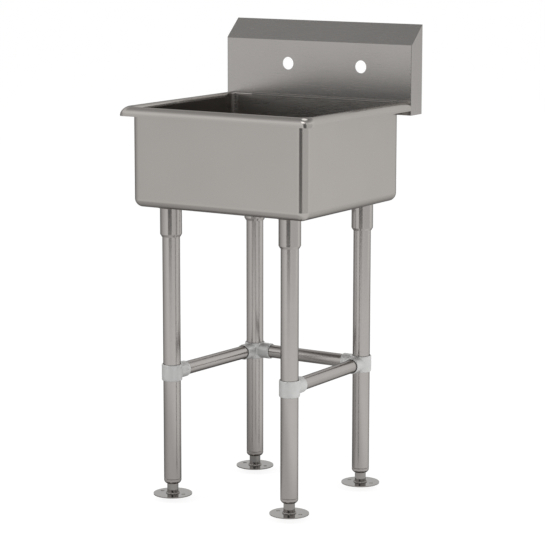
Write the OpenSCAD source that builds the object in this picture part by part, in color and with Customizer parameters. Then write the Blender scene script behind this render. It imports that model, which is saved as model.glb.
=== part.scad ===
// Freestanding utility laundry sink: a bowl with a rolled rim and a backsplash
// on four tube legs, with three bracing rails and adjustable flanged feet.
// Millimetres. X runs left to right, Y front to back and Z up from the floor.
// The origin lies on the floor, below the middle of the whole sink.

/* [Bowl] */
// Height of the rim's crest above the floor
rim_h = 922; // [860:1:980]
// Outside width of the bowl
bowl_w = 470.2; // [420:0.1:600]
// Outside length of the bowl, front to back
bowl_l = 428.1; // [380:0.1:560]
// Height from the bowl's underside to the rim's crest
bowl_h = 233.8; // [180:0.1:320]
// Thickness of the bowl's sheet
bowl_sheet = 1.9; // [1.5:0.1:2.2]
// Outside radius of the bowl's corners and bottom edges
bowl_corner_r = 20; // [16:0.5:30]

/* [Rolled rim] */
// How far the rim stands out past the bowl at the left and right
rim_side = 23.8; // [22:0.1:32]
// How far the rim stands out past the bowl at the front
rim_front = 21.7; // [21.5:0.1:32]
// Height of the rim from its lower lip to its crest
rim_drop = 21.6; // [20.5:0.1:32]
// Outside radius of the roll's face
rim_r = 19; // [16:0.5:19.5]
// Outside radius of the roll over its crest
rim_crest_r = 8; // [6:0.5:10]
// Distance of the crest from the rim's outer edge
rim_crest_in = 14; // [12:0.1:14]
// Radius where the rim turns down into the bowl at the front and sides
rim_inner_r = 9.6; // [6:0.1:9.6]
// Radius where the deck turns down into the bowl at the rear
deck_inner_r = 2.4; // [2.2:0.1:3]
// Length over which the turned edge runs out into the rear corners
rim_run_out = 18; // [14:0.5:30]
// Radius of the rim's two front corners, seen from above
rim_corner_r = 6; // [4:0.5:12]
// Length of the level deck between the bowl and the backsplash
deck_l = 12; // [8:0.1:40]

/* [Backsplash] */
// Depth of the backsplash, front panel to wall
splash_d = 50.6; // [35:0.1:70]
// Height of the backsplash above the rim's crest
splash_rise = 178.5; // [140:0.1:260]
// How far the front panel reaches below the rim's crest
splash_drop = 32.7; // [26:0.1:60]
// Height of the sloped top
splash_slope_h = 46.4; // [30:0.1:60]
// Height of the return flange at the wall
splash_return = 22; // [12:0.5:30]
// Thickness of the backsplash's sheet
splash_sheet = 1.5; // [1.2:0.1:2]
// Radius of the vertical edges between the front panel and the ends
splash_edge_r = 3; // [2.5:0.1:6]
// Distance between the two faucet holes
faucet_pitch = 203.2; // [150:0.1:210]
// Diameter of each faucet hole
faucet_hole_d = 30.6; // [22:0.1:34]
// Height of the faucet holes above the rim's crest
faucet_rise = 76.2; // [50:0.1:100]
// How far the pair of faucet holes stands right of the middle
faucet_shift = 19; // [-30:0.5:30]

/* [Legs] */
// Outside diameter of the leg tubes
leg_d = 41.3; // [38:0.1:45]
// Wall of the leg tubes
leg_wall = 1.6; // [1.2:0.1:2]
// Distance from the bowl's side to the middle of a leg
leg_inset_side = 72.6; // [60:0.1:95]
// Distance from the bowl's front to the middle of the front legs
leg_inset_front = 55; // [50:0.1:80]
// Distance from the bowl's rear to the middle of the rear legs
leg_inset_rear = 47.4; // [44:0.1:60]
// How much further in the rear left leg stands than the other three
rear_left_shift = 22.5; // [0:0.5:30]
// Outside diameter of the leg sockets below the bowl
socket_d = 51; // [50:0.1:56]
// Length of the leg sockets
socket_h = 70.2; // [50:0.1:80]

/* [Rails] */
// Height of the rails' middle above the floor
rail_h = 295.5; // [200:0.5:420]
// Outside diameter of the rails
rail_d = 31.75; // [28:0.05:33]
// Wall of the rails
rail_wall = 1.5; // [1:0.1:2]
// Outside diameter of a fitting's collar
collar_d = 48.4; // [47.5:0.1:56]
// Height of a fitting's collar
collar_h = 39.5; // [39:0.1:50]
// Outside diameter of a fitting's rail socket
rail_socket_d = 38; // [37:0.1:38.5]
// Reach of a rail socket from the middle of the leg
rail_socket_reach = 49; // [44:0.5:60]

/* [Feet] */
// Diameter of the foot's flange
flange_d = 91.6; // [80:0.1:110]
// Thickness of the foot's flange
flange_t = 2.5; // [2:0.1:4]
// Diameter of the foot's neck
neck_d = 26.6; // [24:0.1:30]
// Height of the leg insert's lower end above the floor
insert_h = 26.2; // [22:0.1:40]
// Height of the rounded nose of the leg insert
nose_h = 12.3; // [9:0.1:16]
// Distance between the two bolt holes of a foot
foot_pitch = 60; // [52:0.5:66]
// Diameter of each bolt hole of a foot
foot_hole_d = 9; // [6:0.1:12]
// Diameter of the foot's stud
stud_d = 12.7; // [10:0.1:16]
// How far a foot can be turned in or out from here
foot_travel = 12.7; // [5:0.1:15]

/* [Drain] */
// Diameter of the drain opening in the bowl's floor
drain_hole_d = 90; // [86:0.5:96]
// How far the drain stands behind the middle of the bowl
drain_back = 92; // [0:1:100]
// Diameter of the pressed recess round the drain
recess_d = 120; // [116:1:124]
// Depth of the pressed recess
recess_h = 3; // [2:0.1:4]
// Diameter of the drain body's flange
drain_flange_d = 112; // [106:0.5:114]
// Outside diameter of the drain body's cup
cup_d = 86; // [80:0.5:88]
// Depth of the drain body's cup
cup_h = 34; // [30:0.5:40]
// Wall of the drain body
cup_wall = 1.6; // [1.2:0.1:2.4]
// Outside diameter of the outlet, an inch and a half pipe thread
outlet_d = 47.8; // [40:0.1:50]
// Length of the outlet
outlet_h = 12; // [10:0.5:30]

/* [Hidden] */
$fn = 96;
// Overrun of every cut past the face that it opens
cut = 1;
// Clearance of a fixed piece in its seat
fit = 0.15;
// Clearance of a piece that slides or turns
running = 0.05;
// Clearance of a leg in a fitting's collar
collar_fit = 0.5;

// Places of the bowl, the rim and the backsplash
rim_w = bowl_w + 2 * rim_side;
total_l = rim_front + bowl_l + deck_l + splash_d;
y_front = -total_l / 2;
y_bowl_front = y_front + rim_front;
y_bowl_rear = y_bowl_front + bowl_l;
y_bowl = (y_bowl_front + y_bowl_rear) / 2;
y_splash = y_bowl_rear + deck_l;
y_wall = y_splash + splash_d;
z_bowl = rim_h - bowl_h;
z_floor = z_bowl + bowl_sheet;
z_lip = rim_h - rim_drop;

// Lean of the line through the centres of the roll's two arcs, and the lower one's height
roll_step = rim_r - rim_crest_r;
roll_lean = asin((rim_r - rim_crest_in) / roll_step);
z_roll = rim_h - rim_crest_r - roll_step * cos(roll_lean);

// Places of the legs, as [x, y]
leg_x = bowl_w / 2 - leg_inset_side;
leg_y_front = y_bowl_front + leg_inset_front;
leg_y_rear = y_bowl_rear - leg_inset_rear;
FRONT_LEFT = [-leg_x, leg_y_front];
FRONT_RIGHT = [leg_x, leg_y_front];
REAR_LEFT = [-leg_x + rear_left_shift, leg_y_rear];
REAR_RIGHT = [leg_x, leg_y_rear];
LEGS = [FRONT_LEFT, FRONT_RIGHT, REAR_LEFT, REAR_RIGHT];

// Leg sockets and leg tubes
leg_r = leg_d / 2;
socket_r = socket_d / 2;
socket_chamfer_h = 6;
weld = 2.5;
socket_roof = 6;
z_socket = z_bowl - socket_h;
z_leg_top = z_bowl - socket_roof;
z_seam = insert_h + nose_h;
seam_chamfer = 0.8;

// Set screws, with a hexagon socket in the outer end
screw_d = 7.8;
screw_hex = 4;
screw_hex_depth = 2;
socket_screw_rise = 25;
rail_screw_d = 5.8;
rail_screw_back = 10;

// Leg inserts and feet
insert_r = leg_r - leg_wall - running;
nose_band = 3;
thread_h = 14;
thread_gap = 2;
neck_in = 18;
z_neck_top = insert_h + neck_in;
z_thread = z_neck_top + foot_travel + thread_gap;
z_insert_top = z_thread + thread_h;
stud_in = 14;
stud_h = stud_in + foot_travel + thread_gap + thread_h + foot_travel;
bead = 3;

// Fittings and rails
collar_r = collar_d / 2;
rail_r = rail_d / 2;
rail_socket_r = rail_socket_d / 2;
collar_chamfer = 2.4;
collar_lip = 1;
rail_stop_wall = 1.6;
rail_stop = collar_r + rail_stop_wall;
rail_end_gap = 0.4;

// Drain
drain_y = y_bowl + drain_back;
z_recess = z_floor - recess_h;
drain_flange_t = 1.8;
gasket_t = 3;
washer_t = 1;
nut_h = 8;
nut_w = 9;
nut_lugs = 4;
nut_lug = 6;
z_gasket = z_bowl - recess_h;
z_cup = z_recess - cup_h;
outlet_wall = 3.4;
outlet_bore_r = outlet_d / 2 - outlet_wall;
cup_ramp = 6;

// Strainer basket
basket_wall = 1;
basket_rim_t = 1.2;
basket_gap = 1.2;
basket_taper = 8;
basket_r = cup_d / 2 - cup_wall - basket_gap;
basket_low_r = basket_r - basket_taper;
stopper_t = 4;
stopper_lap = 5;
stopper_r = outlet_bore_r + stopper_lap;
z_stopper = z_cup + cup_wall + running;
z_basket = z_stopper + stopper_t;
basket_h = 22;
basket_hole_r = 2;
basket_rows = 2;
basket_row_pitch = 6.3;
basket_row_holes = 16;
floor_holes = 8;
post_r = 3;
post_h = 30;
knob_r = 8;
knob_h = 7;

STEEL = [0.66, 0.65, 0.63];
DULL_STEEL = [0.56, 0.55, 0.54];
CAST = [0.73, 0.73, 0.73];
BLACK_RUBBER = [0.12, 0.12, 0.12];
FIBRE = [0.62, 0.45, 0.33];

// Direction in degrees from one leg to another
function heading(from, to) = atan2(to[1] - from[1], to[0] - from[0]);

// A box whose upright corners and bottom edges are rounded alike
module round_box(w, l, h, r) {
    for (sx = [-1, 1], sy = [-1, 1])
        translate([sx * (w / 2 - r), sy * (l / 2 - r), r]) {
            sphere(r);
            cylinder(h - r, r = r);
        }
    for (sx = [-1, 1])
        translate([sx * (w / 2 - r), 0, r])
            rotate([90, 0, 0])
                cylinder(l - 2 * r, r = r, center = true);
    for (sy = [-1, 1])
        translate([0, sy * (l / 2 - r), r])
            rotate([0, 90, 0])
                cylinder(w - 2 * r, r = r, center = true);
    translate([-w / 2 + r, -l / 2, r])
        cube([w - 2 * r, l, h - r]);
    translate([-w / 2, -l / 2 + r, r])
        cube([w, l - 2 * r, h - r]);
    translate([-w / 2 + r, -l / 2 + r, 0])
        cube([w - 2 * r, l - 2 * r, h]);
}

// Section beside a wall that turns outwards at its top with radius r
module turn_section(r, above) {
    difference() {
        square([r, r + above]);
        translate([r, 0])
            circle(r);
    }
}

// The turn along the four walls and round the four corners of a w by l box
module turn_round(w, l, corner_r, r, above) {
    for (side = [0, 1])
        mirror([side, 0, 0])
            translate([w / 2, 0, 0])
                rotate([90, 0, 0])
                    linear_extrude(l - 2 * corner_r, center = true)
                        turn_section(r, above);
    for (side = [0, 1])
        mirror([0, side, 0])
            translate([0, l / 2, 0])
                rotate([90, 0, 90])
                    linear_extrude(w - 2 * corner_r, center = true)
                        turn_section(r, above);
    for (sx = [-1, 1], sy = [-1, 1])
        translate([sx * (w / 2 - corner_r), sy * (l / 2 - corner_r), 0])
            rotate_extrude()
                translate([corner_r, 0])
                    turn_section(r, above);
}

// The wide turn at the front and both sides, up to where the rear corners start
module turn_front(w, l, corner_r, r, above) {
    for (side = [0, 1])
        mirror([side, 0, 0])
            translate([w / 2, 0, 0])
                rotate([90, 0, 0])
                    linear_extrude(l - 2 * corner_r, center = true)
                        turn_section(r, above);
    translate([0, -l / 2, 0])
        rotate([90, 0, -90])
            linear_extrude(w - 2 * corner_r, center = true)
                turn_section(r, above);
    for (s = [-1, 1])
        translate([s * (w / 2 - corner_r), -l / 2 + corner_r, 0])
            rotate_extrude()
                translate([corner_r, 0])
                    turn_section(r, above);
}

// The space above the line where the wide turn runs out, seen from the side
module run_out_section(l, corner_r, r, above) {
    end = l / 2 - corner_r;
    polygon([
        [-l, -cut],
        [end - rim_run_out, -cut],
        [end - rim_run_out, 0],
        [end, r],
        [end, r + above],
        [-l, r + above]]);
}

// The bowl's hollow, grown by a distance, up to a height and with its turned edge
module basin(grow, top, above) {
    w = bowl_w - 2 * (bowl_sheet - grow);
    l = bowl_l - 2 * (bowl_sheet - grow);
    r = bowl_corner_r - bowl_sheet + grow;
    z = z_floor - grow;
    translate([0, y_bowl, z])
        round_box(w, l, top - z, r);
    translate([0, y_bowl, rim_h - deck_inner_r])
        turn_round(w, l, r, deck_inner_r - grow, above);
}

// The hollow of the wide turn, which runs out before the rear corners
module rim_hollow() {
    w = bowl_w - 2 * bowl_sheet;
    l = bowl_l - 2 * bowl_sheet;
    r = bowl_corner_r - bowl_sheet;
    translate([0, y_bowl, rim_h - rim_inner_r])
        intersection() {
            turn_front(w, l, r, rim_inner_r, cut);
            rotate([90, 0, 90])
                linear_extrude(2 * rim_w, center = true)
                    run_out_section(l, r, rim_inner_r, cut);
        }
}

// The metal below the wide turn, solid where the turn runs out
module rim_turn() {
    r = rim_inner_r - bowl_sheet;
    end = bowl_l / 2 - bowl_corner_r;
    translate([0, y_bowl, rim_h - rim_inner_r]) {
        turn_front(bowl_w, bowl_l, bowl_corner_r, r, bowl_sheet / 2);
        for (s = [0, 1])
            mirror([s, 0, 0])
                translate([bowl_w / 2 - bowl_sheet / 2, end - rim_run_out, 0])
                    cube([rim_inner_r, rim_run_out, rim_inner_r - bowl_sheet / 2]);
    }
}

// The roll in section: a wide arc up from the lip and a tighter one to the crest
module roll_section(inset) {
    far = 2 * rim_r;
    z_crest = rim_h - rim_crest_r;
    intersection() {
        translate([rim_r, z_roll])
            circle(rim_r - inset);
        polygon([
            [rim_r, z_roll],
            [rim_r - far, z_roll],
            [rim_r - far, z_roll + far],
            [rim_r - far * sin(roll_lean), z_roll + far * cos(roll_lean)]]);
    }
    intersection() {
        translate([rim_crest_in, z_crest])
            circle(rim_crest_r - inset);
        polygon([
            [rim_crest_in, z_crest],
            [rim_crest_in - far * sin(roll_lean), z_crest + far * cos(roll_lean)],
            [rim_crest_in, z_crest + far]]);
    }
}

// The rim seen from the front: a slab whose two top edges are rolled
module rim_side_section(inset, below) {
    half = rim_w / 2;
    translate([-half + rim_crest_in, z_lip - below])
        square([2 * (half - rim_crest_in), rim_h - inset - z_lip + below]);
    translate([-half + inset, z_lip - below])
        square([2 * (half - inset), z_roll - z_lip + below]);
    for (side = [0, 1])
        mirror([side, 0, 0])
            translate([-half, 0])
                roll_section(inset);
}

// The rim seen from the side: only its front edge is rolled
module rim_front_section(inset, below, behind) {
    translate([y_front + rim_crest_in, z_lip - below])
        square([y_splash + behind - y_front - rim_crest_in, rim_h - inset - z_lip + below]);
    translate([y_front + inset, z_lip - below])
        square([y_splash + behind - y_front - inset, z_roll - z_lip + below]);
    translate([y_front, 0])
        roll_section(inset);
}

// The rim from above, with its two front corners rounded
module rim_plan(inset, behind) {
    r = rim_corner_r - inset;
    half = rim_w / 2 - inset;
    y = y_front + inset;
    translate([-half, y + r])
        square([2 * half, y_splash + behind - y - r]);
    translate([-half + r, y])
        square([2 * (half - r), 2 * r]);
    for (s = [-1, 1])
        translate([s * (half - r), y + r])
            circle(r);
}

// Solid rim, set in by a distance all round for the hollow below it
module rim_slab(inset, below, behind) {
    intersection() {
        rotate([90, 0, 0])
            linear_extrude(2 * total_l, center = true)
                rim_side_section(inset, below);
        rotate([90, 0, 90])
            linear_extrude(2 * rim_w, center = true)
                rim_front_section(inset, below, behind);
        translate([0, 0, z_lip - below])
            linear_extrude(rim_drop + below)
                rim_plan(inset, behind);
    }
}

module sink_bowl() {
    color(STEEL)
        difference() {
            union() {
                difference() {
                    rim_slab(0, 0, 0);
                    rim_slab(bowl_sheet, cut, cut);
                }
                basin(bowl_sheet, rim_h - bowl_sheet / 2, bowl_sheet / 2);
                rim_turn();
                translate([0, drain_y, z_bowl - recess_h])
                    cylinder(recess_h + bowl_sheet / 2, d = recess_d + 2 * bowl_sheet);
            }
            basin(0, rim_h + cut, cut);
            rim_hollow();
            translate([0, drain_y, z_recess])
                cylinder(recess_h + cut, d = recess_d);
            translate([0, drain_y, z_recess - bowl_sheet - cut])
                cylinder(bowl_sheet + 2 * cut, d = drain_hole_d);
        }
}

// Outline of the backsplash from the side, as [y, z]
module splash_outline() {
    polygon([
        [y_splash, rim_h - splash_drop],
        [y_splash, rim_h + splash_rise - splash_slope_h],
        [y_wall, rim_h + splash_rise],
        [y_wall, rim_h - splash_drop]]);
}

// The hollow behind the backsplash's sheet, open to the wall below its return
module splash_hollow() {
    t = splash_sheet;
    slope = atan2(splash_slope_h, splash_d);
    start = rim_h + splash_rise - splash_slope_h - t / cos(slope);
    low = rim_h - splash_drop - cut;
    back = rim_h + splash_rise - splash_return;
    polygon([
        [y_splash + t, low],
        [y_splash + t, start + t * tan(slope)],
        [y_wall - t, start + (splash_d - t) * tan(slope)],
        [y_wall - t, back],
        [y_wall + cut, back],
        [y_wall + cut, low]]);
}

// The backsplash from above, with rounded front edges
module splash_plan(inset) {
    r = splash_edge_r - inset;
    half = rim_w / 2 - inset;
    y = y_splash + inset;
    translate([-half, y + r])
        square([2 * half, splash_d]);
    translate([-half + r, y])
        square([2 * (half - r), 2 * r]);
    for (s = [-1, 1])
        translate([s * (half - r), y + r])
            circle(r);
}

module backsplash() {
    color(STEEL)
        difference() {
            intersection() {
                rotate([90, 0, 90])
                    linear_extrude(rim_w, center = true)
                        splash_outline();
                linear_extrude(rim_h + splash_rise)
                    splash_plan(0);
            }
            intersection() {
                rotate([90, 0, 90])
                    linear_extrude(rim_w - 2 * splash_sheet, center = true)
                        splash_hollow();
                linear_extrude(rim_h + splash_rise)
                    splash_plan(splash_sheet);
            }
            for (s = [-1, 1])
                translate([faucet_shift + s * faucet_pitch / 2, y_splash + splash_sheet / 2, rim_h + faucet_rise])
                    rotate([90, 0, 0])
                        cylinder(splash_sheet + 2 * cut, d = faucet_hole_d, center = true);
        }
}

// Welded socket below the bowl that takes the top of a leg
module leg_socket(leg) {
    color(DULL_STEEL)
        translate([leg[0], leg[1], z_socket])
            difference() {
                union() {
                    cylinder(socket_chamfer_h, r1 = leg_r + weld / 2, r2 = socket_r);
                    translate([0, 0, socket_chamfer_h])
                        cylinder(socket_h - socket_chamfer_h, r = socket_r);
                    translate([0, 0, socket_h - weld])
                        cylinder(weld, r1 = socket_r, r2 = socket_r + weld);
                }
                translate([0, 0, -cut])
                    cylinder(z_leg_top - z_socket + fit + cut, r = leg_r + fit);
                translate([0, 0, socket_screw_rise])
                    rotate([-90, 0, 0])
                        cylinder(socket_r + cut, d = screw_d + 2 * fit);
            }
}

module leg_tube(leg) {
    color(DULL_STEEL)
        translate([leg[0], leg[1], z_seam])
            difference() {
                union() {
                    cylinder(seam_chamfer, r1 = leg_r - seam_chamfer, r2 = leg_r);
                    translate([0, 0, seam_chamfer])
                        cylinder(z_leg_top - z_seam - seam_chamfer, r = leg_r);
                }
                translate([0, 0, -cut])
                    cylinder(z_leg_top - z_seam + 2 * cut, r = leg_r - leg_wall);
            }
}

// Plug in the leg's lower end, with a rounded nose and a thread for the stud
module leg_insert(leg) {
    color(DULL_STEEL)
        translate([leg[0], leg[1], 0])
            difference() {
                union() {
                    rotate_extrude()
                        nose_section();
                    translate([0, 0, z_seam])
                        cylinder(z_insert_top - z_seam, r = insert_r);
                }
                translate([0, 0, insert_h - cut])
                    cylinder(z_thread - insert_h + cut, r = neck_d / 2 + fit);
                translate([0, 0, insert_h])
                    cylinder(z_insert_top - insert_h + cut, r = stud_d / 2 + running);
            }
}

// Half section of the nose: a chamfered shoulder and band, then a quarter round
module nose_section() {
    round_r = nose_h - nose_band;
    z_band = z_seam - nose_band;
    polygon([
        [0, z_band],
        [leg_r, z_band],
        [leg_r, z_seam - seam_chamfer],
        [leg_r - seam_chamfer, z_seam],
        [0, z_seam]]);
    intersection() {
        union() {
            translate([0, insert_h])
                square([leg_r - round_r, round_r]);
            translate([leg_r - round_r, z_band])
                circle(round_r);
        }
        translate([0, insert_h])
            square([leg_r, round_r]);
    }
}

// Floor flange with its neck and weld bead
module foot_flange(leg) {
    color(DULL_STEEL)
        translate([leg[0], leg[1], 0])
            difference() {
                union() {
                    cylinder(flange_t, d = flange_d);
                    cylinder(z_neck_top, d = neck_d);
                    translate([0, 0, flange_t])
                        cylinder(bead, d1 = neck_d + 2 * bead, d2 = neck_d);
                }
                for (s = [-1, 1])
                    translate([s * foot_pitch / 2, 0, -cut])
                        cylinder(flange_t + 2 * cut, d = foot_hole_d);
                translate([0, 0, z_neck_top - stud_in])
                    cylinder(stud_in + cut, r = stud_d / 2 + fit);
            }
}

module foot_stud(leg) {
    color(STEEL)
        translate([leg[0], leg[1], z_neck_top - stud_in])
            cylinder(stud_h, d = stud_d);
}

// Cast collar round a leg with a rail socket in each of the given directions
module rail_fitting(leg, directions, screw_direction) {
    color(CAST)
        translate([leg[0], leg[1], rail_h])
            difference() {
                union() {
                    translate([0, 0, -collar_h / 2])
                        cylinder(collar_chamfer, r1 = collar_r - collar_chamfer / 2, r2 = collar_r);
                    translate([0, 0, collar_chamfer - collar_h / 2])
                        cylinder(collar_h - collar_chamfer - collar_lip, r = collar_r);
                    translate([0, 0, collar_h / 2 - collar_lip])
                        cylinder(collar_lip, r1 = collar_r, r2 = collar_r - collar_lip);
                    for (a = directions)
                        rotate([0, 90, a]) {
                            cylinder(rail_socket_reach - collar_lip, r = rail_socket_r);
                            translate([0, 0, rail_socket_reach - collar_lip])
                                cylinder(collar_lip, r1 = rail_socket_r, r2 = rail_socket_r - collar_lip);
                        }
                }
                cylinder(collar_h + 2 * cut, r = leg_r + collar_fit, center = true);
                for (a = directions)
                    rotate([0, 90, a])
                        translate([0, 0, rail_stop])
                            cylinder(rail_socket_reach - rail_stop + cut, r = rail_r + fit);
                for (a = directions)
                    rotate([0, 0, a])
                        translate([rail_socket_reach - rail_screw_back, 0, 0])
                            rotate([180, 0, 0])
                                cylinder(rail_socket_r + cut, d = rail_screw_d + 2 * fit);
                rotate([0, 90, screw_direction])
                    cylinder(collar_r + cut, d = rail_screw_d + 2 * fit);
            }
}

// Tube between the fittings of two legs
module rail(from, to) {
    span = norm(to - from) - 2 * (rail_stop + rail_end_gap);
    color(DULL_STEEL)
        translate([from[0], from[1], rail_h])
            rotate([0, 90, heading(from, to)])
                translate([0, 0, rail_stop + rail_end_gap])
                    difference() {
                        cylinder(span, r = rail_r);
                        translate([0, 0, -cut])
                            cylinder(span + 2 * cut, r = rail_r - rail_wall);
                    }
}

// Headless screw along +Z from its tip, with a hexagon socket in its far end
module set_screw(length, diameter) {
    difference() {
        cylinder(length, d = diameter);
        translate([0, 0, length - screw_hex_depth])
            cylinder(screw_hex_depth + cut, d = screw_hex, $fn = 6);
    }
}

module socket_set_screws() {
    color(DULL_STEEL)
        for (leg = LEGS)
            translate([leg[0], leg[1], z_socket + socket_screw_rise])
                rotate([-90, 0, 0])
                    translate([0, 0, leg_r + fit])
                        set_screw(socket_r - leg_r - fit, screw_d);
}

// A screw in each collar and one below each rail socket
module fitting_screws(leg, directions, screw_direction) {
    translate([leg[0], leg[1], rail_h]) {
        rotate([0, 90, screw_direction])
            translate([0, 0, leg_r + fit])
                set_screw(collar_r - leg_r - fit, rail_screw_d);
        for (a = directions)
            rotate([0, 0, a])
                translate([rail_socket_reach - rail_screw_back, 0, 0])
                    rotate([180, 0, 0])
                        translate([0, 0, rail_r + fit])
                            set_screw(rail_socket_r - rail_r - fit, rail_screw_d);
    }
}

// Directions of the rail sockets at each leg
rails_front_left = [heading(FRONT_LEFT, REAR_LEFT)];
rails_front_right = [heading(FRONT_RIGHT, REAR_RIGHT)];
rails_rear_left = [heading(REAR_LEFT, FRONT_LEFT), heading(REAR_LEFT, REAR_RIGHT)];
rails_rear_right = [heading(REAR_RIGHT, FRONT_RIGHT), heading(REAR_RIGHT, REAR_LEFT)];
screw_left = 180;
screw_back = 90;

module fitting_set_screws() {
    color(DULL_STEEL) {
        fitting_screws(FRONT_LEFT, rails_front_left, screw_left);
        fitting_screws(FRONT_RIGHT, rails_front_right, screw_left);
        fitting_screws(REAR_LEFT, rails_rear_left, screw_back);
        fitting_screws(REAR_RIGHT, rails_rear_right, screw_back);
    }
}

// Flanged cup that clamps into the bowl's floor, with a male outlet below
module drain_body() {
    color(STEEL)
        translate([0, drain_y, 0])
            difference() {
                union() {
                    translate([0, 0, z_recess])
                        cylinder(drain_flange_t, d1 = drain_flange_d, d2 = drain_flange_d - 2 * drain_flange_t);
                    translate([0, 0, z_cup])
                        cylinder(cup_h, d = cup_d);
                    translate([0, 0, z_cup - outlet_h])
                        cylinder(outlet_h + cup_wall, d = outlet_d);
                }
                translate([0, 0, z_cup + cup_wall + cup_ramp])
                    cylinder(cup_h + drain_flange_t, d = cup_d - 2 * cup_wall);
                translate([0, 0, z_cup + cup_wall])
                    cylinder(cup_ramp, r1 = stopper_r + 2 * cup_wall, d2 = cup_d - 2 * cup_wall);
                translate([0, 0, z_cup - outlet_h - cut])
                    cylinder(outlet_h + cup_wall + 2 * cut, r = outlet_bore_r);
            }
}

// Flat ring round the drain body's cup
module drain_ring(z, height, outer_d) {
    translate([0, drain_y, z])
        difference() {
            cylinder(height, d = outer_d);
            translate([0, 0, -cut])
                cylinder(height + 2 * cut, d = cup_d + 2 * fit);
        }
}

module drain_gasket() {
    color(BLACK_RUBBER)
        drain_ring(z_gasket - gasket_t, gasket_t, drain_flange_d);
}

module drain_washer() {
    color(FIBRE)
        drain_ring(z_gasket - gasket_t - washer_t, washer_t, drain_flange_d);
}

// Ring nut with lugs to drive it round
module drain_locknut() {
    z = z_gasket - gasket_t - washer_t - nut_h;
    color(CAST) {
        drain_ring(z, nut_h, cup_d + 2 * nut_w);
        for (i = [0 : nut_lugs - 1])
            translate([0, drain_y, z])
                rotate([0, 0, i * 360 / nut_lugs])
                    translate([cup_d / 2 + nut_w / 2, -nut_lug / 2, 0])
                        cube([nut_w / 2 + nut_lug, nut_lug, nut_h]);
    }
}

// Removable cup with rows of holes, tapering down to its floor
module strainer_basket() {
    color(STEEL)
        translate([0, drain_y, z_basket])
            difference() {
                union() {
                    cylinder(basket_h, r1 = basket_low_r, r2 = basket_r - basket_wall);
                    translate([0, 0, basket_h - basket_rim_t])
                        cylinder(basket_rim_t, r = basket_r);
                }
                translate([0, 0, basket_wall])
                    cylinder(basket_h, r1 = basket_low_r - basket_wall, r2 = basket_r - 2 * basket_wall);
                for (row = [1 : basket_rows], i = [0 : basket_row_holes - 1])
                    rotate([0, 0, (i + row / 2) * 360 / basket_row_holes])
                        translate([basket_low_r / 2, 0, row * basket_row_pitch])
                            rotate([0, 90, 0])
                                cylinder(basket_r, r = basket_hole_r);
                for (i = [0 : floor_holes - 1])
                    rotate([0, 0, i * 360 / floor_holes])
                        translate([basket_low_r * 2 / 3, 0, -cut])
                            cylinder(basket_wall + 2 * cut, r = basket_hole_r);
                translate([0, 0, -cut])
                    cylinder(basket_wall + 2 * cut, r = post_r + running);
            }
}

// Post through the basket's floor, with a shoulder above it and a knob on top
module basket_post() {
    color(STEEL)
        translate([0, drain_y, z_basket]) {
            translate([0, 0, -stopper_t / 2])
                cylinder(post_h, r = post_r);
            translate([0, 0, basket_wall + running])
                cylinder(basket_wall, r = 2 * post_r);
            translate([0, 0, post_h - stopper_t])
                cylinder(knob_h, r1 = knob_r, r2 = knob_r - basket_wall);
        }
}

// Rubber disc below the basket that seals the outlet
module basket_stopper() {
    color(BLACK_RUBBER)
        translate([0, drain_y, z_stopper])
            difference() {
                cylinder(stopper_t, r1 = stopper_r - stopper_t / 2, r2 = stopper_r);
                translate([0, 0, stopper_t / 2])
                    cylinder(stopper_t, r = post_r + running);
            }
}

sink_bowl();
backsplash();
leg_socket(FRONT_LEFT);  // leg_socket_front_left
leg_socket(FRONT_RIGHT);  // leg_socket_front_right
leg_socket(REAR_LEFT);  // leg_socket_rear_left
leg_socket(REAR_RIGHT);  // leg_socket_rear_right
leg_tube(FRONT_LEFT);  // leg_tube_front_left
leg_tube(FRONT_RIGHT);  // leg_tube_front_right
leg_tube(REAR_LEFT);  // leg_tube_rear_left
leg_tube(REAR_RIGHT);  // leg_tube_rear_right
leg_insert(FRONT_LEFT);  // leg_insert_front_left
leg_insert(FRONT_RIGHT);  // leg_insert_front_right
leg_insert(REAR_LEFT);  // leg_insert_rear_left
leg_insert(REAR_RIGHT);  // leg_insert_rear_right
foot_flange(FRONT_LEFT);  // foot_flange_front_left
foot_flange(FRONT_RIGHT);  // foot_flange_front_right
foot_flange(REAR_LEFT);  // foot_flange_rear_left
foot_flange(REAR_RIGHT);  // foot_flange_rear_right
foot_stud(FRONT_LEFT);  // foot_stud_front_left
foot_stud(FRONT_RIGHT);  // foot_stud_front_right
foot_stud(REAR_LEFT);  // foot_stud_rear_left
foot_stud(REAR_RIGHT);  // foot_stud_rear_right
rail_fitting(FRONT_LEFT, rails_front_left, screw_left);  // tee_fitting_front_left
rail_fitting(FRONT_RIGHT, rails_front_right, screw_left);  // tee_fitting_front_right
rail_fitting(REAR_LEFT, rails_rear_left, screw_back);  // corner_fitting_rear_left
rail_fitting(REAR_RIGHT, rails_rear_right, screw_back);  // corner_fitting_rear_right
rail(FRONT_LEFT, REAR_LEFT);  // side_rail_left
rail(FRONT_RIGHT, REAR_RIGHT);  // side_rail_right
rail(REAR_LEFT, REAR_RIGHT);  // rear_rail
socket_set_screws();
fitting_set_screws();
drain_body();
drain_gasket();
drain_washer();
drain_locknut();
strainer_basket();
basket_post();
basket_stopper();
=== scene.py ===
# %% [markdown]
# # A free-standing utility sink in satin stainless steel
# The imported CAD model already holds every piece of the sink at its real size.
# This lesson dresses it: it gives each piece the finish that its maker gives it,
# rounds what the CAD model draws too sharp, adds the weld beads and the pipe
# thread that it leaves out, and sets up a plain studio around it. Everything is
# in metres, with Z up, unless a name ends in _mm or _deg.

# %% Load the sink
import math

import bmesh
import bpy
from mathutils import Matrix, Vector


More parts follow.
